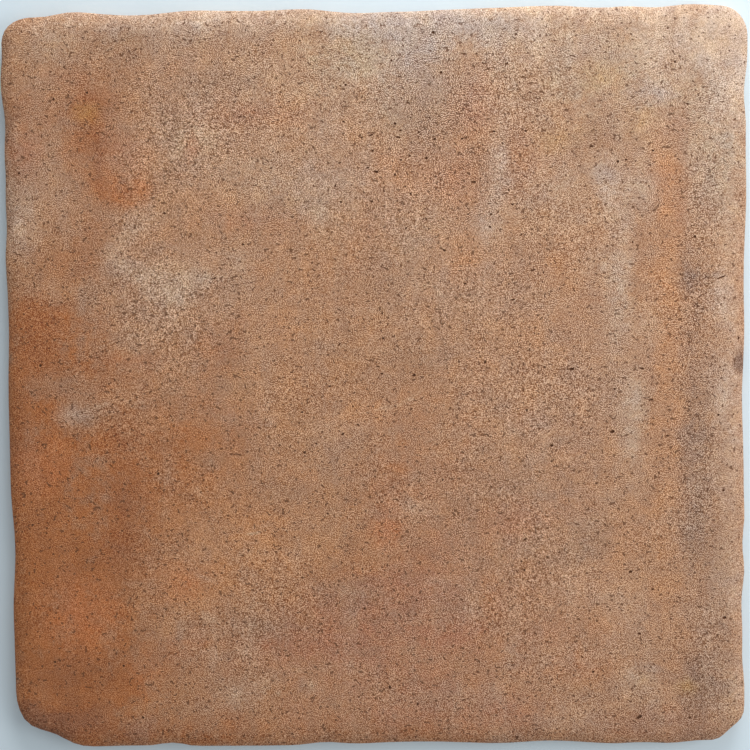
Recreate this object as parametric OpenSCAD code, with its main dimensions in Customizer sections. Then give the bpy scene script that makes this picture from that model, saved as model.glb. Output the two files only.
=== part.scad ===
// Rustic terracotta floor tile: one pressed and fired piece with a wavy outline,
// a rounded wearing edge and a keyed back. Millimetres, +Z up, the back on Z = 0,
// and the origin under the middle of the tile.

/* [Tile] */
// Length of each side, over the parts of the outline that stand furthest out
side = 330; // [250:5:450]
// Thickness, from the ribs of the back to the wearing face
thickness = 10; // [8:0.5:16]

/* [Corners] */
// Radius of the front left corner
front_left_r = 26; // [14:1:36]
// Radius of the front right corner
front_right_r = 17; // [14:1:36]
// Radius of the back right corner
back_right_r = 14; // [14:1:36]
// Radius of the back left corner
back_left_r = 16; // [14:1:36]

/* [Rounded edge] */
// How far the rounding reaches in over the wearing face
edge_in = 9; // [4:0.5:10.5]
// How far the rounding reaches down the side wall
edge_drop = 3.2; // [1:0.2:5]
// How much wider the rounding is worn in a wave, as a share of the wave's depth
edge_wear = 0.6; // [0:0.1:1]

/* [Side wall] */
// How far the wall leans in, from the foot of the rounding to the back
wall_lean = 0.8; // [0:0.1:2]
// Bevel along the back edge
back_bevel = 0.8; // [0.2:0.1:1.5]

/* [Wavy outline] */
// Depth of a full wave in the outline
wave_depth = 2; // [0:0.1:3.5]
// Reach of a full wave, from its middle to either end
wave_reach = 40; // [25:1:60]

/* [Chipped corner] */
// Depth of the chip at the front left corner
chip_depth = 4.5; // [0:0.2:8]
// Reach of the chip, from its middle to either end
chip_reach = 19; // [10:1:26]
// Distance of the chip's middle from the tile's left side
chip_place = 15; // [10:1:30]

/* [Keyed back] */
// Width of a key pocket at its mouth
pocket_w = 17.5; // [10:0.5:30]
// Width of the rib between two pockets
rib_w = 4; // [2:0.5:8]
// Depth of a pocket
pocket_depth = 0.9; // [0.4:0.1:2]
// How far each wall of a pocket leans in, from its mouth to its floor
pocket_draft = 0.6; // [0:0.1:2]
// Least width of the plain margin around the pockets
key_margin = 14; // [12:1:30]

/* [Hidden] */

half_side = side / 2;
// Steps along each straight side, round each corner and over the rounded edge
SIDE_STEPS = 64;
CORNER_STEPS = 9;
EDGE_STEPS = 7;
// How far a cutting shape starts outside the surface that it cuts
CUT_OVER = 1;

// Waves of the outline, pressed in from the straight side. Each row is the side,
// the place along it from -1 to 1, the depth as a share of wave_depth, and the
// reach as a share of wave_reach.
WAVES = [
    ["back", -0.90, 1.10, 0.45],
    ["back", -0.64, 0.95, 0.75],
    ["back", -0.33, 0.25, 0.75],
    ["back", -0.07, 0.60, 0.55],
    ["back", 0.07, 0.85, 1.00],
    ["back", 0.29, 0.30, 0.70],
    ["back", 0.61, 0.50, 0.50],
    ["back", 0.75, 0.60, 0.40],
    ["back", 0.92, 0.30, 0.25],
    ["right", 0.77, 0.65, 0.40],
    ["right", 0.64, 0.25, 0.85],
    ["right", 0.27, 0.60, 1.10],
    ["right", -0.05, 0.80, 1.00],
    ["right", -0.27, 0.30, 0.70],
    ["right", -0.45, 0.55, 0.35],
    ["right", -0.62, 0.75, 0.50],
    ["right", -0.75, 0.55, 0.45],
    ["front", 1.00, 2.00, 0.35],
    ["front", 0.89, 0.60, 0.40],
    ["front", 0.72, 0.20, 0.30],
    ["front", 0.47, 0.65, 0.75],
    ["front", 0.10, 0.65, 1.30],
    ["front", -0.15, 0.60, 0.40],
    ["front", -0.57, 0.75, 0.30],
    ["front", -0.67, 0.20, 0.55],
    ["left", -0.45, 0.65, 0.75],
    ["left", 0.18, 0.50, 0.95],
    ["left", 0.43, 0.55, 0.40],
    ["left", 0.56, 0.60, 0.55],
    ["left", 0.70, 0.80, 0.45],
    ["left", 0.89, 0.40, 0.30]
];

// The point at a share of the half side along one side of the square
function side_point(name, along) = half_side * (
    name == "front" ? [along, -1] :
    name == "right" ? [1, along] :
    name == "back" ? [along, 1] : [-1, along]);

// A smooth hollow, 1 deep at its middle and level with the side past its reach
function hollow(distance, reach) =
    distance < reach ? (1 + cos(180 * distance / reach)) / 2 : 0;

// Depth to which the waves press the outline in at a point of the plain outline
function wave_at(point) = [for (wave = WAVES)
    wave_depth * wave[2] * hollow(norm(point - side_point(wave[0], wave[1])), wave_reach * wave[3])
] * [for (wave = WAVES) 1];

// Depth to which the chip cuts the outline at a point of the plain outline
function chip_at(point) =
    chip_depth * hollow(norm(point - [chip_place - half_side, -half_side]), chip_reach);

// Plain outline, anticlockwise from the front left corner: each item is a point
// and the direction that faces out of the tile there
CORNERS = [
    [[-1, -1], front_left_r],
    [[1, -1], front_right_r],
    [[1, 1], back_right_r],
    [[-1, 1], back_left_r]
];
function corner_centre(turn) = (half_side - CORNERS[turn % 4][1]) * CORNERS[turn % 4][0];
function facing(angle) = [cos(angle), sin(angle)];
PLAIN_OUTLINE = [for (turn = [0:3])
    let (radius = CORNERS[turn][1],
         start = 180 + 90 * turn,
         out = facing(start + 90),
         side_start = corner_centre(turn) + radius * out,
         side_end = corner_centre(turn + 1) + CORNERS[(turn + 1) % 4][1] * out)
    each concat(
        [for (i = [0:CORNER_STEPS - 1])
            let (dir = facing(start + 90 * i / CORNER_STEPS))
            [corner_centre(turn) + radius * dir, dir]],
        [for (i = [0:SIDE_STEPS - 1])
            [side_start + (side_end - side_start) * i / SIDE_STEPS, out]])
];

// The wavy outline: point, facing direction, and width of the rounding there
OUTLINE = [for (item = PLAIN_OUTLINE)
    let (wave = wave_at(item[0]))
    [item[0] - (wave + chip_at(item[0])) * item[1], item[1], edge_in + edge_wear * wave]
];

// Levels from the back up: how far in, as a length and as a share of the
// rounding's width, and the height
LEVELS = concat(
    [[wall_lean + back_bevel, 0, 0], [wall_lean, 0, back_bevel]],
    [for (i = [0:EDGE_STEPS])
        let (angle = 90 * i / EDGE_STEPS)
        [0, 1 - cos(angle), thickness - edge_drop * (1 - sin(angle))]]
);

// The tile without its key pockets: a skin over one ring of points for each level
module blank() {
    count = len(OUTLINE);
    points = [for (level = LEVELS, item = OUTLINE)
        let (place = item[0] - (level[0] + level[1] * item[2]) * item[1])
        [place[0], place[1], level[2]]
    ];
    skin = [for (row = [0:len(LEVELS) - 2], i = [0:count - 1])
        let (next = (i + 1) % count, low = row * count, high = low + count)
        each [[low + i, high + i, high + next], [low + i, high + next, low + next]]
    ];
    // The back and the face are fans about a point at their middle
    back_middle = len(points);
    face_middle = back_middle + 1;
    rim = (len(LEVELS) - 1) * count;
    back = [for (i = [0:count - 1]) [back_middle, i, (i + 1) % count]];
    face = [for (i = [0:count - 1]) [face_middle, rim + (i + 1) % count, rim + i]];
    polyhedron(concat(points, [[0, 0, 0], [0, 0, thickness]]), concat(back, skin, face));
}

// Key pocket, mouth down, centred on the Z axis: its walls lean in to its roof
module pocket() {
    mouth = pocket_w / 2 + pocket_draft * CUT_OVER / pocket_depth;
    roof = pocket_w / 2 - pocket_draft;
    points = [for (end = [[mouth, -CUT_OVER], [roof, pocket_depth]], corner = CORNERS)
        [end[0] * corner[0][0], end[0] * corner[0][1], end[1]]
    ];
    walls = [for (i = [0:3]) [i, i + 4, (i + 1) % 4 + 4, (i + 1) % 4]];
    polyhedron(points, concat([[0, 1, 2, 3], [7, 6, 5, 4]], walls));
}

// Square field of pockets, an even number each way, so that ribs cross mid-tile
module pocket_field() {
    pitch = pocket_w + rib_w;
    half_count = floor((side - 2 * key_margin + rib_w) / (2 * pitch));
    for (column = [-half_count:half_count - 1], row = [-half_count:half_count - 1])
        translate([(column + 0.5) * pitch, (row + 0.5) * pitch, 0])
            pocket();
}

// The whole tile
module tile() {
    color("#a77f64")
        difference() {
            blank();
            pocket_field();
        }
}

tile();
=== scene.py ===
import math
import random

import bpy
from mathutils import Euler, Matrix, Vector


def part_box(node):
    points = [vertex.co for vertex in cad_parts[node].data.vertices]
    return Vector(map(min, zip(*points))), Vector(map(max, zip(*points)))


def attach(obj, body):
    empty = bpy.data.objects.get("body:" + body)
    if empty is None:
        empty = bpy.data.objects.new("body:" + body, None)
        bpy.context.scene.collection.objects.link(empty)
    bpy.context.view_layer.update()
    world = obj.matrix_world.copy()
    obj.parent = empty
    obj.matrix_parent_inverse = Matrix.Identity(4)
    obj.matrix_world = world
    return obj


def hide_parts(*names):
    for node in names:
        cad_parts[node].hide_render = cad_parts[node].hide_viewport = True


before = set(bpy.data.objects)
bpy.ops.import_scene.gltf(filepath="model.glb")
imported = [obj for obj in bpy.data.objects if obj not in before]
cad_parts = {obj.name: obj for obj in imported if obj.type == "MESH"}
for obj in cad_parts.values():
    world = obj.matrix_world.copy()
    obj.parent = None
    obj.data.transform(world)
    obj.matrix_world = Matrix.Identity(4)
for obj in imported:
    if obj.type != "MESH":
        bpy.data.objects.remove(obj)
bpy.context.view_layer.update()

MM = 0.001
low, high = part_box("tile")
SIDE = high.x - low.x
THICKNESS = high.z - low.z

# The back and its bevel stay as pressed. Everything above the first height is cut finely,
# and its relief grows to full strength at the second.
WORKED_FROM = 1.2 * MM
FULLY_WORKED = 3 * MM
# Width of a slice of the face, and the heights at which the wall is cut
SLICE = 3.3 * MM
WALL_CUTS = (2.8 * MM, 4.8 * MM)
# Points nearer than this become one, and faces nearer to level than this become one
WELD = 0.001 * MM
BISECT_WELD = 0.01 * MM
LEVEL_ANGLE = math.radians(0.2)
# Edges sharper than this stay sharp
SHARP_ANGLE = math.radians(35)
# Swells of the worked surface: the width of each, and its height
SWELLS = ((42 * MM, 0.35 * MM), (6 * MM, 0.12 * MM))

random.seed(7)


# ---------------------------------------------------------------- small helpers
def only(thing):
    """Selects one object and makes it active."""
    bpy.ops.object.select_all(action="DESELECT")
    thing.select_set(True)
    bpy.context.view_layer.objects.active = thing


def apply_modifier(thing, kind, **settings):
    """Adds one modifier, sets it up and applies it."""
    only(thing)
    modifier = thing.modifiers.new(kind.title(), kind)
    for name, value in settings.items():
        setattr(modifier, name, value)
    bpy.ops.object.modifier_apply(modifier=modifier.name)


def select_faces(thing, wanted):
    """Selects, in face mode, the faces of an object that pass a test."""
    only(thing)
    bpy.ops.object.mode_set(mode="EDIT")
    bpy.ops.mesh.select_mode(type="FACE")
    bpy.ops.mesh.select_all(action="DESELECT")
    bpy.ops.object.mode_set(mode="OBJECT")
    for face in thing.data.polygons:
        face.select = wanted(face)


def linear(red, green, blue):
    """A colour given as it looks, from 0 to 255, in the linear values that shaders take."""
    def channel(value):
        value = value / 255
        return value / 12.92 if value <= 0.04045 else ((value + 0.055) / 1.055) ** 2.4
    return (channel(red), channel(green), channel(blue), 1)


# ---------------------------------------------------------------- the fired body
def pressed_body():
    """A copy of the pressed tile, with its triangles merged back into flat faces."""
    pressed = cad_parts["tile"]
    body = pressed.copy()
    body.data = pressed.data.copy()
    body.name = "fired_tile"
    body.parent = None
    for key in list(body.keys()):
        del body[key]
    body.data.materials.clear()
    bpy.context.scene.collection.objects.link(body)
    only(body)
    bpy.ops.object.mode_set(mode="EDIT")
    bpy.ops.mesh.select_all(action="SELECT")
    bpy.ops.mesh.remove_doubles(threshold=WELD)
    bpy.ops.mesh.customdata_custom_splitnormals_clear()
    bpy.ops.mesh.dissolve_limited(angle_limit=LEVEL_ANGLE)
    bpy.ops.object.mode_set(mode="OBJECT")
    return body


def slice_finely(body):
    """Cuts the face, the rounded edge and the wall into small, even faces."""
    select_faces(body, lambda face: face.center.z < WORKED_FROM)
    bpy.ops.object.mode_set(mode="EDIT")
    bpy.ops.mesh.hide(unselected=False)
    count = round(SIDE / SLICE)
    for axis in (Vector((1, 0, 0)), Vector((0, 1, 0))):
        for step in range(1, count):
            place = axis * (SIDE * (step / count - 0.5))
            bpy.ops.mesh.select_all(action="SELECT")
            bpy.ops.mesh.bisect(plane_co=place, plane_no=axis, threshold=BISECT_WELD)
    for height in WALL_CUTS:
        bpy.ops.mesh.select_all(action="SELECT")
        bpy.ops.mesh.bisect(plane_co=(0, 0, height), plane_no=(0, 0, 1), threshold=BISECT_WELD)
    bpy.ops.mesh.select_all(action="SELECT")
    bpy.ops.mesh.subdivide(number_cuts=1)
    bpy.ops.mesh.reveal(select=False)
    bpy.ops.object.mode_set(mode="OBJECT")


def mark_worked(body):
    """A vertex group that is nothing on the back and full from the wall upwards."""
    worked = body.vertex_groups.new(name="worked")
    for vertex in body.data.vertices:
        share = (vertex.co.z - WORKED_FROM) / (FULLY_WORKED - WORKED_FROM)
        if share > 0:
            worked.add([vertex.index], min(share, 1), "REPLACE")


def uneven(body, size, height):
    """Raises and lowers the worked surface softly. Size is the width of a swell."""
    swell = bpy.data.textures.new("swell", "CLOUDS")
    swell.noise_scale = size
    swell.noise_depth = 2
    apply_modifier(body, "DISPLACE", texture=swell, texture_coords="LOCAL", direction="NORMAL",
                   strength=height, mid_level=0.6, vertex_group="worked")


# ---------------------------------------------------------------- pock marks
# Each row is x, y, length, width and turn: the marks that a stranger would notice, in mm
# and degrees, from the middle of the tile.
POCKS = [
    (-12, 131, 1.2, 1.0, 0), (-1, 109, 2.2, 0.9, 20), (-5, 108, 1.1, 0.9, 0),
    (11, 108, 2.0, 1.0, -15), (-13, 115, 1.4, 0.9, -10), (1, 93, 2.4, 1.3, -8),
    (-15, 97, 1.5, 0.9, 25), (-1, 80, 1.6, 1.2, 0), (-17, 87, 1.5, 0.9, 60),
    (20, 110, 1.2, 1.1, 0), (27, 107, 1.6, 1.2, 30), (12, 98, 1.2, 1.0, 0),
    (44, 88, 2.4, 1.1, 10), (53, 110, 1.5, 1.0, 0), (23, 72, 1.2, 0.9, 0),
    (14, 68, 1.4, 1.0, 40), (67, 110, 1.3, 1.0, 0), (61, 78, 1.5, 1.0, 0),
    (70, 49, 2.6, 0.9, 15), (61, 36, 2.2, 0.9, 10), (72, 29, 1.3, 1.0, 0),
    (17, 3, 1.8, 1.2, 20), (87, 5, 2.6, 1.4, 5), (75, 6, 1.4, 0.9, 0),
    (118, 5, 2.4, 0.9, -12), (122, -9, 2.4, 0.9, 10), (106, -4, 1.2, 1.0, 0),
    (105, -23, 2.2, 1.6, 20), (78, -29, 1.8, 1.3, 0), (78, -36, 1.2, 1.0, 0),
    (98, -46, 1.4, 1.0, 0), (67, -13, 1.3, 1.0, 0), (113, -86, 1.8, 1.3, 30),
    (117, -152, 3.2, 1.5, 25), (117, -114, 1.6, 1.1, 0), (66, -71, 2.2, 1.0, 30),
    (123, -94, 1.3, 1.0, 0), (76, -79, 1.2, 1.0, 0), (153, 45, 4.4, 0.8, 20),
    (161, 18, 1.6, 1.0, 70), (155, -107, 2.0, 1.4, 10), (152, -16, 1.3, 1.0, 0),
    (-16, 17, 2.0, 0.8, 50), (1, 7, 2.0, 0.8, -20), (-15, -23, 1.7, 1.2, 45),
    (-8, -19, 1.2, 0.9, 0), (-33, -13, 1.3, 0.9, 0), (96, 103, 2.2, 1.0, 10),
    (111, 97, 1.4, 1.0, 0), (138, 121, 1.4, 1.0, 0), (-126, 129, 1.3, 1.0, 0),
    (-146, -125, 1.5, 1.1, 0), (-115, -127, 1.4, 1.0, 70), (62, -161, 1.5, 1.1, 0),
]
# Depth of a pock mark, and how far the pebble stands above the face, as shares of its width
POCK_DEPTH = 0.5
PEBBLE_UP = 0.1
# The small marks between them: how many there are, the least space between two, and how far
# from the middle they may lie
SCATTERED_POCKS = 110
POCK_SPACE = 3 * MM
POCK_LIMIT = 160 * MM
# The share of them that crowds, the middle of the crowd and its spread
CROWDING = 0.45
CROWD_X = 15
CROWD_Y = 85
CROWD_SPREAD = 38


def pebble(material):
    """The rough little lump that every pock mark is pressed with."""
    bpy.ops.object.select_all(action="DESELECT")
    bpy.ops.mesh.primitive_ico_sphere_add(subdivisions=2, radius=0.5)
    lump = bpy.context.active_object
    bpy.ops.object.mode_set(mode="EDIT")
    bpy.ops.mesh.select_all(action="SELECT")
    bpy.ops.transform.vertex_random(offset=0.09, seed=3)
    bpy.ops.object.mode_set(mode="OBJECT")
    lump.data.materials.append(material["face"])
    lump.data.materials.append(material["pock"])
    for face in lump.data.polygons:
        face.material_index = 1
    return lump


def surface_height(body, x, y):
    """How high the worked surface is at one place."""
    hit, place, _, _ = body.ray_cast(Vector((x, y, 2 * THICKNESS)), Vector((0, 0, -1)))
    return place.z if hit else None


def pock_places():
    """The noticed marks, then small ones that crowd towards the back of the tile."""
    places = [tuple(value * MM for value in row[:4]) + (math.radians(row[4]),) for row in POCKS]
    while len(places) < len(POCKS) + SCATTERED_POCKS:
        if random.random() < CROWDING:
            x = random.gauss(CROWD_X, CROWD_SPREAD) * MM
            y = random.gauss(CROWD_Y, CROWD_SPREAD) * MM
        else:
            x = random.uniform(-158, 160) * MM
            y = random.uniform(-158, 158) * MM
        length = random.uniform(0.8, 1.5) * MM
        width = length * random.uniform(0.6, 0.95)
        turn = random.uniform(-math.pi, math.pi) / 2
        inside = max(abs(x), abs(y)) < POCK_LIMIT
        if inside and all(math.hypot(x - one[0], y - one[1]) > POCK_SPACE for one in places):
            places.append((x, y, length, width, turn))
    return places


def press_pocks(body, material):
    """Cuts every pock mark into the face in one go."""
    lump = pebble(material)
    lumps = []
    for x, y, length, width, turn in pock_places():
        height = surface_height(body, x, y)
        if height is None:
            continue
        one = lump.copy()
        one.data = lump.data.copy()
        one.scale = (length, width, 2 * POCK_DEPTH * width)
        one.rotation_euler = Euler((0, 0, turn))
        one.location = (x, y, height + PEBBLE_UP * width)
        bpy.context.scene.collection.objects.link(one)
        lumps.append(one)
    only(lumps[0])
    for one in lumps:
        one.select_set(True)
    bpy.ops.object.join()
    cutter = bpy.context.active_object
    bpy.ops.object.transform_apply(location=True, rotation=True, scale=True)
    apply_modifier(body, "BOOLEAN", operation="DIFFERENCE", object=cutter, solver="MANIFOLD")
    bpy.data.objects.remove(cutter)
    bpy.data.objects.remove(lump)


# ---------------------------------------------------------------- the fired finish
# Beyond its half width a stain still fades, out to this many half widths.
FADE = 1.5


class Finish:
    """A procedural material, written as short calls that each add one or two nodes."""

    def __init__(self, name):
        self.material = bpy.data.materials.new(name)
        self.material.use_nodes = True
        self.tree = self.material.node_tree
        self.shader = self.tree.nodes["Principled BSDF"]
        self.place = self.tree.nodes.new("ShaderNodeTexCoord").outputs["Object"]

    def feed(self, socket, value):
        """Joins an output to a socket, or sets a plain value on it."""
        if isinstance(value, bpy.types.NodeSocket):
            self.tree.links.new(value, socket)
        else:
            socket.default_value = value

    def maths(self, operation, first, second=0.5, third=0.5):
        """Arithmetic on single values."""
        node = self.tree.nodes.new("ShaderNodeMath")
        node.operation = operation
        for socket, value in zip(node.inputs, (first, second, third)):
            self.feed(socket, value)
        return node.outputs["Value"]

    def vector(self, operation, first, second=None, scale=None):
        """Arithmetic on coordinates and colours."""
        node = self.tree.nodes.new("ShaderNodeVectorMath")
        node.operation = operation
        self.feed(node.inputs[0], first)
        if second is not None:
            self.feed(node.inputs[1], second)
        if scale is not None:
            self.feed(node.inputs["Scale"], scale)
        return node.outputs["Vector"]

    def drawn_out(self, place, stretch):
        """Coordinates in which a pattern is drawn out along x, y and z."""
        node = self.tree.nodes.new("ShaderNodeMapping")
        node.vector_type = "TEXTURE"
        self.feed(node.inputs["Vector"], place)
        node.inputs["Scale"].default_value = stretch
        return node.outputs["Vector"]

    def noise(self, place, size, detail=2, roughness=0.5, output="Factor"):
        """Noise whose lumps are about as wide as size, in metres."""
        node = self.tree.nodes.new("ShaderNodeTexNoise")
        self.feed(node.inputs["Vector"], place)
        node.inputs["Scale"].default_value = 1 / size
        node.inputs["Detail"].default_value = detail
        node.inputs["Roughness"].default_value = roughness
        return node.outputs[0] if output == "Factor" else node.outputs[1]

    def remap(self, value, low, high, to_low=0, to_high=1, smooth=False):
        """A value moved from one range to another, and held inside it."""
        node = self.tree.nodes.new("ShaderNodeMapRange")
        node.interpolation_type = "SMOOTHSTEP" if smooth else "LINEAR"
        for socket, given in zip(node.inputs, (value, low, high, to_low, to_high)):
            self.feed(socket, given)
        return node.outputs["Result"]

    def blend(self, share, first, second, kind="MIX"):
        """A share of the second colour, laid over or multiplied into the first."""
        node = self.tree.nodes.new("ShaderNodeMix")
        node.data_type = "RGBA"
        node.blend_type = kind
        self.feed(node.inputs["Factor"], share)
        self.feed(node.inputs[6], first)
        self.feed(node.inputs[7], second)
        return node.outputs[2]

    def gamma(self, colour, power):
        """A colour raised to a power."""
        node = self.tree.nodes.new("ShaderNodeGamma")
        self.feed(node.inputs["Color"], colour)
        node.inputs["Gamma"].default_value = power
        return node.outputs["Color"]

    def warped(self, place, size, reach):
        """Coordinates pushed about by noise, so that drawn shapes lose their smooth edges."""
        push = self.noise(place, size, detail=3, output="Color")
        push = self.vector("SUBTRACT", push, (0.5, 0.5, 0.5))
        push = self.vector("SCALE", push, scale=reach)
        return self.vector("ADD", place, push)

    def stains(self, place, rows):
        """One mask from soft oval stains: x, y, half width, half height, turn and strength."""
        total = 0
        for x, y, wide, tall, turn, strength in rows:
            dome = self.tree.nodes.new("ShaderNodeTexGradient")
            dome.gradient_type = "SPHERICAL"
            dome.texture_mapping.vector_type = "TEXTURE"
            dome.texture_mapping.translation = (x * MM, y * MM, 0)
            dome.texture_mapping.rotation = (0, 0, math.radians(turn))
            dome.texture_mapping.scale = (wide * FADE * MM, tall * FADE * MM, 1)
            self.feed(dome.inputs["Vector"], place)
            total = self.maths("MULTIPLY_ADD", dome.outputs[1], strength, total)
        return total


# Stains on the fired face, with painted sheen along the rims and painted shade in the chipped
# corner among them, in mm and degrees from the middle of the tile: x, y, half width, half height,
# turn and strength.
DEEP_ORANGE = [
    (-170, -75, 50, 95, 0, 1.5), (-152, 20, 30, 19, 0, 0.7), (-116, 6, 20, 9, 0, 0.35),
    (-110, -60, 28, 44, 0, 0.8), (-124, 118, 15, 34, 0, 0.8), (-110, 88, 12, 8, 0, 0.6),
    (-140, 55, 12, 10, 0, 0.3), (-122, -136, 34, 20, 0, 1.0), (-68, 18, 10, 16, 0, 0.5),
    (-70, -50, 30, 34, 0, 0.5), (-82, -22, 22, 34, 0, 0.35), (12, -40, 34, 38, 0, 0.35),
    (0, -160, 140, 9, 0, 0.5), (-108, -158, 24, 8, 0, 0.4), (-152, -38, 12, 12, 0, 0.6),
    (-130, 22, 12, 10, 0, 0.3), (-132, 68, 10, 8, 0, 0.3), (-158, 112, 9, 20, 0, 0.2),
    (-160, -62, 12, 24, 0, 0.5), (-160, 26, 10, 34, 0, 0.3), (-160, -120, 14, 20, 0, 0.4),
    (-157, -30, 13, 20, 0, 0.9), (-144, -88, 14, 16, 0, 0.7), (-132, 52, 12, 10, 0, 0.3),
    (-150, 128, 12, 12, 0, 0.3), (-76, -157, 20, 7, 0, 0.5), (0, -92, 26, 20, 0, 0.45),
    (-76, -88, 14, 18, 0, 0.6), (-122, 64, 11, 8, 0, 0.4), (-108, 80, 10, 5, 0, 0.4),
    (87, -52, 10, 9, 0, 0.3), (-134, -142, 20, 14, 0, 0.7), (-150, -152, 18, 14, 0, 1.1),
    (-141, 22, 12, 14, 0, 0.4),
]
GOLDEN = [
    (-62, -72, 36, 34, 0, 1.0), (-30, 148, 14, 8, 0, 0.7), (-38, 30, 16, 32, 0, 0.5),
    (-95, -88, 20, 9, 0, 0.5), (126, 34, 7, 70, 0, 0.5), (108, -98, 30, 26, 0, 0.3),
    (34, 54, 14, 9, 0, 0.7), (8, 90, 10, 14, 0, 0.7), (-10, -14, 14, 9, 0, 0.8),
    (108, -68, 22, 12, 0, 0.2), (126, 92, 6, 16, 0, 0.9), (-138, 43, 7, 4, 0, 1.1),
    (84, -10, 14, 6, 0, 0.3), (88, -44, 14, 12, 0, 0.3), (-76, -88, 14, 20, 0, 0.6),
    (2, -135, 9, 7, 0, 0.9), (-26, -7, 12, 8, 0, 0.4),
]
RED_BROWN = [
    (0, -126, 70, 32, 0, 0.7), (35, -115, 18, 8, 0, 0.5), (45, 127, 10, 15, 0, 1.2),
    (-50, 120, 28, 6, 0, 0.4), (-50, 73, 30, 5, 0, 0.5), (60, -62, 14, 9, 0, 0.5),
    (136, 78, 4, 28, 0, 0.3), (120, 112, 9, 6, 0, 0.4), (92, 119, 9, 6, 0, 0.4),
    (-155, 104, 8, 10, 0, 1.0), (-90, -126, 18, 9, 0, 0.2), (-22, -112, 36, 12, 0, 0.6),
    (134, 113, 9, 6, 0, 0.6), (72, 96, 14, 20, 0, 0.5), (12, -94, 18, 10, 0, 0.8),
    (32, -106, 18, 7, 0, 0.6), (24, -143, 14, 7, 0, 0.5), (30, -152, 40, 6, 0, 0.4),
    (-12, -95, 18, 8, 0, 0.6), (25, -97, 15, 5, 0, 0.5), (128, -155, 24, 6, 0, 0.7),
    (101, 132, 10, 8, 0, 0.6), (36, -72, 32, 30, 0, 0.3), (94, -110, 22, 22, 0, 0.2),
    (44, 90, 34, 14, 0, 0.4), (-109, 104, 10, 9, 0, 0.6), (55, -145, 14, 9, 0, 0.5),
]
DARK_RUST_AND_CHIP_SHADE = [
    (-152, 22, 11, 15, 0, 0.4), (-113, -52, 9, 13, 0, 0.5), (-114, -74, 14, 10, 0, 0.5),
    (-110, -24, 11, 11, 0, 0.3), (-138, -130, 17, 10, 10, 0.5), (-135, -151, 12, 8, 0, 0.8),
    (-126, 130, 11, 20, 0, 0.6), (-120, 98, 4, 12, 0, 0.5), (-156, -12, 9, 14, 0, 0.1),
    (-132, 57, 8, 5, 0, 0.2), (-157, 94, 6, 8, 0, 0.2), (-112, -157, 16, 6, 0, 0.6),
    # The strong mark at -156, -156 is painted shade in the chipped corner; the other marks are dark
    # rust.
    (-156, -156, 14, 10, 0, 2.4), (-140, -157, 14, 7, 0, 0.5), (-157, -31, 10, 14, 0, 0.35),
    (-150, 116, 9, 9, 0, 0.3),
]
BRIGHT_ORANGE = [
    (-136, -104, 16, 16, 0, 1.0), (-150, -36, 12, 12, 0, 0.7), (-108, 88, 10, 8, 0, 0.3),
    (-110, 11, 13, 3, 0, 0.3), (-80, 105, 3, 6, 0, 0.9), (-88, -88, 15, 8, 0, 0.5),
    (-82, -116, 10, 7, 0, 0.4), (5, -65, 7, 9, 0, 0.7), (-106, -131, 8, 9, 0, 0.4),
    (90, -128, 14, 6, 0, 0.3), (125, 86, 5, 11, 0, 0.3),
]
COOL_WASH = [
    (0, 146, 44, 26, 0, 1.0), (110, 136, 52, 30, 0, 0.9), (154, 100, 14, 40, 0, 0.8),
    (78, 84, 24, 18, 0, 0.5), (-50, 96, 34, 16, 0, 0.4), (-135, 150, 20, 10, 0, 0.5),
    (20, 66, 14, 24, 0, 0.3), (-85, 110, 16, 10, 0, 0.5), (45, 30, 16, 14, 0, 0.2),
    (-68, 131, 17, 9, 0, 0.3), (146, 98, 9, 14, 0, 0.5), (11, 114, 10, 12, 0, 0.5),
    (-19, 74, 9, 9, 0, 0.4), (-37, 78, 14, 8, 0, 0.4), (-81, 150, 10, 6, 0, 0.4),
]
GREY_BROWN = [
    (-68, 131, 17, 9, 0, 0.5), (-100, 128, 16, 14, 0, 0.4), (-105, 155, 16, 10, 0, 0.8),
    (-118, 143, 10, 10, 0, 0.5), (-54, -108, 13, 7, 0, 0.7), (-12, -95, 17, 7, 0, 0.6),
    (20, 10, 22, 11, 0, 0.5), (52, -50, 22, 14, 20, 0.5), (95, -70, 9, 11, 0, 0.8),
    (28, -101, 17, 8, 0, 0.4), (24, -143, 14, 7, 0, 0.4), (97, 108, 9, 7, 0, 0.7),
    (-42, -50, 13, 7, 0, 0.4), (26, 120, 14, 20, 0, 0.7), (128, -155, 20, 5, 0, 0.6),
    (10, 60, 12, 20, 0, 0.3), (-76, -34, 5, 5, 0, 0.8), (85, -78, 10, 5, 0, 0.4),
    (-130, -14, 12, 6, 0, 0.7), (-140, 0, 16, 7, 0, 0.5), (-157, 54, 8, 14, 0, 0.5),
    (-120, 62, 8, 8, 0, 0.4), (52, 97, 9, 14, 0, 0.5), (88, -44, 14, 10, 0, 0.3),
]
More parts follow.
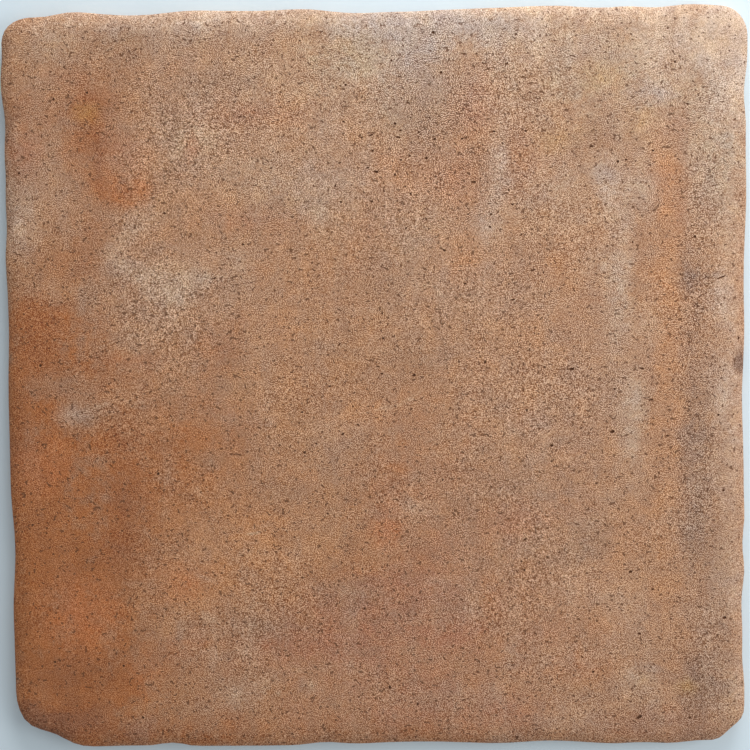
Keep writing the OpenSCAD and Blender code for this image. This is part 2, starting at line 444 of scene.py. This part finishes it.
PALE_HAZE = [
    (-88, 45, 12, 8, 0, 1.0), (-108, 67, 12, 5, 40, 0.5), (-111, 53, 10, 5, -35, 0.7),
    (-98, 44, 8, 6, -20, 0.5), (-90, 31, 9, 9, 0, 0.3), (-75, 48, 8, 4, 0, 0.5),
    (-132, -12, 10, 3, 12, 0.2), (-157, 78, 9, 13, 0, 0.5), (-35, 91, 34, 8, 0, 0.4),
    (-20, 128, 14, 9, 0, 0.4), (53, 78, 5, 26, -3, 0.5), (104, 84, 8, 12, 0, 0.9),
    (107, 42, 6, 34, -2, 0.9), (113, -14, 6, 18, 0, 1.0), (114, -135, 8, 6, 0, 0.6),
    (-64, -140, 9, 6, -10, 0.4), (-50, -135, 8, 4, 0, 0.3), (-31, -138, 5, 5, 0, 0.4),
    (18, -57, 9, 6, 0, 0.4), (-20, -20, 14, 14, 0, 0.2), (92, -154, 14, 6, 0, 0.3),
    (26, -90, 9, 2, 0, 0.3), (86, -90, 9, 8, 0, 0.2), (-60, 52, 6, 12, 0, 0.4),
    (-98, 79, 6, 4, 0, 0.2), (-70, 96, 12, 8, 0, 0.2), (-12, 84, 16, 10, 0, 0.3),
    (-22, 110, 12, 9, 0, 0.4), (157, -80, 7, 14, 0, 0.5), (158, -143, 8, 18, 0, 0.8),
    (115, -38, 7, 12, 0, 0.4), (118, 84, 7, 13, 0, 1.0), (107, 72, 7, 9, 0, 0.3),
    (96, 52, 9, 10, 0, 0.5), (119, 24, 7, 16, 0, 0.4), (114, -115, 14, 12, 0, 0.3),
    (107, -97, 12, 9, 0, 0.4),
]
# Pale bloom, and painted sheen: the clay near the rims, most of all at the top and right, paler and
# greyer where light glances off them.
PALE_BLOOM_AND_SHEEN = [
    (160, 150, 14, 18, 0, 2.6), (108, 160, 44, 10, 0, 0.5), (160, 120, 9, 15, 0, 0.4),
    (157, 60, 7, 56, 0, 0.25), (157, -20, 7, 42, 0, 0.5), (160, -95, 9, 17, 0, 0.3),
    (71, 152, 6, 11, 0, 1.0), (-158, 71, 8, 10, 0, 0.4), (130, 148, 10, 17, 0, 1.1),
    (151, 121, 8, 10, 0, 0.5), (28, 158, 20, 7, 0, 1.1), (92, 145, 12, 7, 0, 0.4),
    (-78, 157, 20, 7, 0, 0.5), (-132, 158, 16, 6, 0, 0.4), (153, 36, 6, 12, 0, 0.5),
    (151, -6, 6, 12, 0, 0.5), (116, 142, 9, 9, 0, 0.3), (-50, 160, 76, 6, 0, 0.5),
]
BLUE_GREY = [
    (30, 158, 34, 9, 0, 1.2), (54, 152, 8, 11, -4, 0.9), (28, 152, 16, 9, 0, 0.8),
    (17, 142, 13, 19, 4, 0.8), (56, 98, 3, 23, -2, 0.4), (48, 70, 5, 7, 0, 0.5),
    (122, 126, 8, 5, 0, 1.1), (124, -131, 3, 2, 0, 0.4), (-107, -155, 6, 4, 0, 0.2),
    (104, 88, 7, 9, 0, 0.6), (-15, 158, 9, 6, 0, 0.7), (70, 120, 6, 4, 20, 0.1),
    (150, 138, 9, 5, 0, 0.4), (-135, -13, 8, 4, 10, 0.3),
]
# Painted sheen: the top rim and the top end of the right rim paler, where light glances off them.
PAINTED_RIM_SHEEN = [
    (70, 168, 80, 6, 0, 0.8), (-62, 167, 76, 5, 0, 0.8), (168, 158, 7, 18, 0, 0.8),
]
MAUVE = [
    (146, -20, 9, 48, 0, 0.5), (142, -45, 6, 36, 0, 0.7), (143, 52, 7, 34, 0, 0.7),
    (147, -134, 10, 26, 0, 0.5), (148, -80, 12, 24, 0, 0.4), (20, 121, 14, 20, 0, 0.7),
    (58, 151, 7, 8, 0, 0.35),
]
DARK_BAND = [
    (139, 42, 4, 5, 0, 1.3), (148, 44.5, 8, 1.5, 0, 0.5), (161, 8, 3, 4.5, 0, 1.5),
    (144, -138, 8, 14, 0, 1.0), (141, -70, 4, 11, 0, 0.5), (155, -108, 3, 8, 0, 0.5),
    (139, -10, 3, 28, 0, 0.4), (136, 48, 4, 16, 0, 0.5),
]
OCHRE = [
    (138, -138, 5, 4, 0, 0.4), (118, -136, 3, 3, 0, 0.2), (100, 134, 10, 7, 0, 0.35),
    (117, 113, 8, 7, 0, 0.25), (80, 108, 10, 7, 0, 0.25), (-126, 120, 6, 5, 0, 0.3),
]
# Thin pale scrapes, and painted highlights on small raised wrinkles
SCRAPES_AND_HIGHLIGHTS = [
    (28.5, 39, 3.5, 1, -50, 1.0), (24, 42.5, 4, 0.8, -25, 0.4), (35, 34, 4, 0.8, -30, 0.3),
    (5, -11.3, 5, 0.9, 12, 0.6), (15, -7.5, 6, 0.9, 35, 0.6), (-54.5, -67, 3.2, 0.7, 10, 1.3),
    (-76, -105.5, 5, 2.2, -25, 0.6), (-60, -94, 0.6, 2, 0, 0.6), (-77, -87.5, 4, 1.2, -15, 0.5),
    (-79.5, -48, 2, 2, 0, 0.5), (-64.5, -142.5, 3.5, 5, 20, 0.6), (-51.5, -137, 2, 3, 0, 0.8),
    (-45.5, -140, 1.2, 1.2, 0, 1.0), (-30.5, -137, 1.7, 2.5, 0, 1.1), (-37, -130, 2, 2.5, 0, 0.4),
    (-59, -120, 5, 4, 0, 0.4), (61, -22.5, 2.5, 2.5, 0, 0.4), (-122, -9, 7, 1, 20, 0.4),
]
# Where the grain is stronger, and with a negative strength where it is weaker
GRITTY = [
    (32, 118, 30, 50, 0, 1.0), (-60, 110, 42, 40, 0, 0.5), (70, 20, 34, 40, 0, 0.4),
    (140, 0, 7, 90, 0, 0.6), (-90, 30, 34, 20, 0, 0.4), (30, -80, 40, 40, 0, 0.2),
    (159, -20, 7, 150, 0, -1.0), (150, 152, 30, 20, 0, -1.0), (-150, -120, 40, 40, 0, -0.5),
    (-20, 40, 20, 50, 0, -0.3), (118, -10, 7, 80, 0, -0.3), (92, 110, 20, 50, 0, -0.4),
    (-155, 130, 16, 40, 0, -0.5), (-105, 156, 30, 8, 0, -0.4), (40, 161, 130, 7, 0, -0.7),
]
# The clay itself, and its warm and cool parts
CLAY = linear(178, 130, 97)
CLAY_WARM = linear(179, 129, 90)
CLAY_COOL = linear(175, 133, 102)
# The stains' colours, painted sheen and painted shade among them, from the lowest layer to the
# uppermost
LAYERS = (
    (DEEP_ORANGE, linear(167, 102, 55)),
    (GOLDEN, linear(187, 132, 90)),
    (RED_BROWN, linear(171, 115, 83)),
    # Dark rust, and painted shade in the chipped corner
    (DARK_RUST_AND_CHIP_SHADE, linear(146, 90, 56)),
    (BRIGHT_ORANGE, linear(186, 112, 64)),
    (COOL_WASH, linear(180, 153, 128)),
    (GREY_BROWN, linear(160, 123, 96)),
    (PALE_HAZE, linear(189, 157, 131)),
    # Pale bloom, with painted sheen along the rims
    (PALE_BLOOM_AND_SHEEN, linear(206, 178, 155)),
    (BLUE_GREY, linear(186, 164, 149)),
    # Painted sheen along the top rim
    (PAINTED_RIM_SHEEN, linear(205, 179, 157)),
    (MAUVE, linear(155, 120, 96)),
    (DARK_BAND, linear(132, 98, 78)),
    (OCHRE, linear(192, 144, 76)),
)
# The colour of the pale scrapes and of the painted highlights on wrinkles
SCRAPE_AND_HIGHLIGHT = linear(198, 160, 128)
# Smears: how far each kind is drawn out along x, y and z, its colour and its strength
SMEARS = (
    ((1, 7, 1), linear(190, 158, 132), 0.35),
    ((6, 1, 1), linear(186, 152, 125), 0.3),
    ((1, 5, 1), linear(158, 112, 84), 0.3),
)
SMEAR_WIDTH = 9 * MM
# Drifts: the width of each and its strength, the colours that they multiply the clay by,
# and how far they lighten and darken it
DRIFTS = ((7 * MM, 0.36), (22 * MM, 0.17))
DRIFT_WARM = (1.02, 0.94, 0.70, 1)
DRIFT_COOL = (0.97, 1.05, 1.27, 1)
DRIFT_SHADE = 0.28

# Warps that roughen the outlines of the stains and of the scrapes and painted highlights: width and
# reach
SLOW_WARP = (26 * MM, 9 * MM)
QUICK_WARP = (8 * MM, 6 * MM)
SCRAPE_AND_HIGHLIGHT_WARP = (7 * MM, 2.5 * MM)
# Widths of the noises, from the broadest to the finest
BROAD = 60 * MM
MOTTLE = 14 * MM
GRIT = 3 * MM
PIT = 1.3 * MM
FLECK = 1.2 * MM
GRAIN = 0.43 * MM

# The grain lightens and darkens the clay by SAND, and no further than SHADE. Both are on
# the scale on which colours look evenly spaced, which the power LOOKS leads to.
LOOKS = 1 / 2.2
SAND = (0.32, 0.33, 0.33)
SHADE = (0.30, 0.17, 0.09)
# Strength of the grain, how much more it has where it is gritty, and where it is orange
CONTRAST = 0.61
CONTRAST_GRITTY = 0.26
CONTRAST_ORANGE = -0.16
# How much the flecks and the grit add to the grain
FLECK_SHARE = 0.16
GRIT_SHARE = 0.1
# Pin pricks: their colour and its share, the noise value at which one begins, how much lower
# that is where it is gritty, and how fast one darkens
PRICK = linear(96, 56, 26)
PRICK_SHARE = 0.75
PRICK_EDGE = 0.71
PRICK_GRITTY = -0.025
PRICK_SOFT = 0.05
# Depth of the finest relief
BUMP = 0.2 * MM


def terracotta_finish():
    """The worn face: warm clay, stains, painted sheen, highlights and shade, and smears over it, and
    a sandy grain over all.
    """
    clay = Finish("terracotta")
    place = clay.warped(clay.warped(clay.place, *SLOW_WARP), *QUICK_WARP)
    mottle = clay.noise(clay.place, MOTTLE, detail=4, roughness=0.6)
    grit = clay.noise(clay.place, GRIT, detail=3, roughness=0.6)

    broad = clay.remap(clay.noise(clay.place, BROAD, detail=3), 0.35, 0.65)
    colour = clay.blend(broad, CLAY_WARM, CLAY_COOL)
    colour = clay.blend(clay.remap(mottle, 0.4, 0.7, 0, 0.5), colour, CLAY)

    # Each stain, painted sheen and painted shade among them, is stronger and weaker from place to
    # place, and gritty at its edges.
    unevenness = clay.maths("MULTIPLY", clay.remap(mottle, 0.3, 0.7, 0.5, 1.5),
                            clay.remap(grit, 0.3, 0.7, 0.65, 1.35))
    shares = []
    for rows, tone in LAYERS:
        mask = clay.maths("MULTIPLY", clay.stains(place, rows), unevenness)
        shares.append(clay.remap(mask, 0, 1))
        colour = clay.blend(shares[-1], colour, tone)

    # Pale scrapes, and painted highlights on small raised wrinkles, stronger where it is gritty.
    scrapes_and_highlights = clay.stains(clay.warped(clay.place, *SCRAPE_AND_HIGHLIGHT_WARP), SCRAPES_AND_HIGHLIGHTS)
    scrapes_and_highlights = clay.maths("MULTIPLY", scrapes_and_highlights, clay.remap(grit, 0.35, 0.6, 0.2, 1.2))
    colour = clay.blend(clay.remap(scrapes_and_highlights, 0, 1), colour, SCRAPE_AND_HIGHLIGHT)

    # Faint smears, up and down the face and across it, fainter where it is orange.
    bare = clay.maths("MULTIPLY_ADD", shares[0], -0.75, 1)
    for stretch, tone, share in SMEARS:
        smear = clay.noise(clay.drawn_out(place, stretch), SMEAR_WIDTH, detail=4, roughness=0.62)
        smear = clay.maths("MULTIPLY", clay.remap(smear, 0.5, 0.75, 0, share), bare)
        colour = clay.blend(smear, colour, tone)

    # Drifts from warm clay to cool clay and back, and from dark to light.
    for size, share in DRIFTS:
        warmth = clay.noise(place, size, detail=3, roughness=0.6)
        warmer = clay.remap(warmth, 0.5, 0.75, 0, share)
        cooler = clay.remap(warmth, 0.5, 0.25, 0, share)
        colour = clay.blend(warmer, colour, DRIFT_WARM, "MULTIPLY")
        colour = clay.blend(cooler, colour, DRIFT_COOL, "MULTIPLY")
        shade = clay.noise(clay.warped(place, size, size), size, detail=3, roughness=0.6)
        reach = DRIFT_SHADE * share
        shade = clay.remap(shade, 0.3, 0.7, 1 - reach, 1 + reach)
        colour = clay.vector("SCALE", colour, scale=shade)

    # The grain: light and dark specks under a millimetre wide, stronger where the face is
    # gritty and weaker where it is orange.
    grain = clay.noise(clay.place, GRAIN, detail=1)
    fleck = clay.noise(clay.place, FLECK, detail=1)
    gritty = clay.remap(clay.stains(place, GRITTY), -1, 1, -1, 1)
    contrast = clay.maths("MULTIPLY_ADD", gritty, CONTRAST_GRITTY, CONTRAST)
    contrast = clay.maths("MULTIPLY_ADD", shares[0], CONTRAST_ORANGE, contrast)
    speck = clay.remap(grain, 0.345, 0.635, -1.27, 1.0)
    speck = clay.maths("MULTIPLY_ADD", clay.remap(fleck, 0.3, 0.7, -1, 1), FLECK_SHARE, speck)
    speck = clay.maths("MULTIPLY_ADD", clay.remap(grit, 0.3, 0.7, -1, 1), GRIT_SHARE, speck)
    speck = clay.maths("MULTIPLY", speck, contrast)
    colour = clay.vector("ADD", clay.gamma(colour, LOOKS), clay.vector("SCALE", SAND, scale=speck))
    colour = clay.gamma(clay.vector("MAXIMUM", colour, SHADE), 1 / LOOKS)

    # Pin pricks: dark specks, closer together where the face is gritty.
    pit = clay.noise(clay.place, PIT, detail=0)
    edge = clay.maths("MULTIPLY_ADD", gritty, PRICK_GRITTY, PRICK_EDGE)
    prick = clay.remap(clay.maths("SUBTRACT", pit, edge), 0, PRICK_SOFT)
    colour = clay.blend(clay.maths("MULTIPLY", prick, PRICK_SHARE), colour, PRICK)
    clay.feed(clay.shader.inputs["Base Color"], colour)

    clay.feed(clay.shader.inputs["Roughness"], clay.remap(fleck, 0.3, 0.7, 0.78, 0.92))
    bump = clay.tree.nodes.new("ShaderNodeBump")
    bump.inputs["Distance"].default_value = BUMP
    bump.inputs["Strength"].default_value = 1
    height = clay.maths("MULTIPLY_ADD", fleck, 0.6, grain)
    sunk = clay.remap(pit, PRICK_EDGE, PRICK_EDGE + PRICK_SOFT)
    clay.feed(bump.inputs["Height"], clay.maths("SUBTRACT", height, sunk))
    clay.feed(clay.shader.inputs["Normal"], bump.outputs["Normal"])
    return clay.material


# The two dark browns of a pock mark's inside, darker than the face
POCK_DARK = linear(86, 52, 30)
POCK_PALER = linear(116, 74, 46)


def pock_finish():
    """The inside of a pock mark, in two dark browns mottled together."""
    pock = Finish("pock_shade")
    pock_mottle = pock.noise(pock.place, 0.8 * MM, detail=2)
    colour = pock.blend(pock.remap(pock_mottle, 0.35, 0.65), POCK_DARK, POCK_PALER)
    pock.feed(pock.shader.inputs["Base Color"], colour)
    pock.shader.inputs["Roughness"].default_value = 0.95
    return pock.material


# ---------------------------------------------------------------- floor, light and camera
# The floor's colour and its side in metres
FLOOR = (0.69, 0.80, 0.865, 1)
FLOOR_SIDE = 6
# The even backdrop that the camera sees past the floor, and the clear floor, as a stain
BACKDROP = linear(214, 224, 230)
CLEAR_FLOOR = (0, 0, 380, 380, 0, 1)
# The soft boxes: the width of both, and the place and power of each, in metres and watts
BOX_WIDTH = 0.5
BACK_BOX = ((0.176, 0.827, 0.308), 7.4)
RIGHT_BOX = ((0.678, 0, 0.424), 2.6)
# The even fill from all round
SKY = (0.95, 0.98, 1, 1)
SKY_STRENGTH = 0.445
# The camera: its focal length in mm, its place in metres, and its turns in degrees
FOCAL_LENGTH = 60
SENSOR = 36
EYE = (0.0055, 0.0313, 0.5650)
EYE_TURNS = (-2.90, 0.57, -0.58)


def camera_sees(tree, share, plain, backdrop):
    """Shows the camera a backdrop in place of a share of a surface. It lights nothing."""
    rays = tree.nodes.new("ShaderNodeLightPath").outputs["Is Camera Ray"]
    seen = tree.nodes.new("ShaderNodeMath")
    seen.operation = "MULTIPLY"
    tree.links.new(rays, seen.inputs[0])
    if isinstance(share, bpy.types.NodeSocket):
        tree.links.new(share, seen.inputs[1])
    else:
        seen.inputs[1].default_value = share
    mix = tree.nodes.new("ShaderNodeMixShader")
    tree.links.new(seen.outputs["Value"], mix.inputs["Fac"])
    tree.links.new(plain, mix.inputs[1])
    tree.links.new(backdrop, mix.inputs[2])
    return mix.outputs["Shader"]


def floor():
    """A plain pale floor, which gives way to an even backdrop."""
    bpy.ops.object.select_all(action="DESELECT")
    bpy.ops.mesh.primitive_plane_add(size=FLOOR_SIDE)
    ground = bpy.context.active_object
    ground.name = "floor"
    finish = Finish("pale_floor")
    finish.shader.inputs["Base Color"].default_value = FLOOR
    finish.shader.inputs["Roughness"].default_value = 0.9
    nodes = finish.tree.nodes
    backdrop = nodes.new("ShaderNodeEmission")
    backdrop.inputs["Color"].default_value = BACKDROP
    far = finish.remap(finish.stains(finish.place, [CLEAR_FLOOR]), 0.5, 0, smooth=True)
    seen = camera_sees(finish.tree, far, finish.shader.outputs["BSDF"], backdrop.outputs["Emission"])
    finish.tree.links.new(seen, nodes["Material Output"].inputs["Surface"])
    ground.data.materials.append(finish.material)


def soft_box(name, place, energy):
    """A square soft box that looks at the middle of the tile."""
    lamp = bpy.data.lights.new(name, "AREA")
    lamp.shape = "SQUARE"
    lamp.size = BOX_WIDTH
    lamp.energy = energy
    box = bpy.data.objects.new(name, lamp)
    box.location = place
    box.rotation_euler = (-box.location).to_track_quat("-Z", "Y").to_euler()
    box.visible_camera = False
    bpy.context.scene.collection.objects.link(box)


def light():
    """Two low soft boxes, behind and to the right, and an even fill from all round."""
    soft_box("soft_box_back", *BACK_BOX)
    soft_box("soft_box_right", *RIGHT_BOX)

    world = bpy.data.worlds.new("studio")
    world.use_nodes = True
    sky = world.node_tree.nodes["Background"]
    sky.inputs["Color"].default_value = SKY
    sky.inputs["Strength"].default_value = SKY_STRENGTH
    nodes = world.node_tree.nodes
    backdrop = nodes.new("ShaderNodeBackground")
    backdrop.inputs["Color"].default_value = BACKDROP
    seen = camera_sees(world.node_tree, 1, sky.outputs["Background"], backdrop.outputs["Background"])
    world.node_tree.links.new(seen, nodes["World Output"].inputs["Surface"])
    bpy.context.scene.world = world


def camera():
    """A camera that looks almost straight down on the tile."""
    lens = bpy.data.cameras.new("camera")
    lens.lens = FOCAL_LENGTH
    lens.sensor_width = SENSOR
    eye = bpy.data.objects.new("camera", lens)
    eye.location = EYE
    eye.rotation_euler = Euler([math.radians(turn) for turn in EYE_TURNS])
    bpy.context.scene.collection.objects.link(eye)
    bpy.context.scene.camera = eye


# ---------------------------------------------------------------- putting it together
finishes = {"face": terracotta_finish(), "pock": pock_finish()}
tile = pressed_body()
slice_finely(tile)
mark_worked(tile)
for swell_width, swell_height in SWELLS:
    uneven(tile, swell_width, swell_height)
tile.data.materials.append(finishes["face"])
tile.data.materials.append(finishes["pock"])
press_pocks(tile, finishes)
only(tile)
bpy.ops.object.shade_smooth_by_angle(angle=SHARP_ANGLE)

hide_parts("tile")
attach(tile, "root")

floor()
light()
camera()
bpy.context.scene.view_settings.view_transform = "Standard"
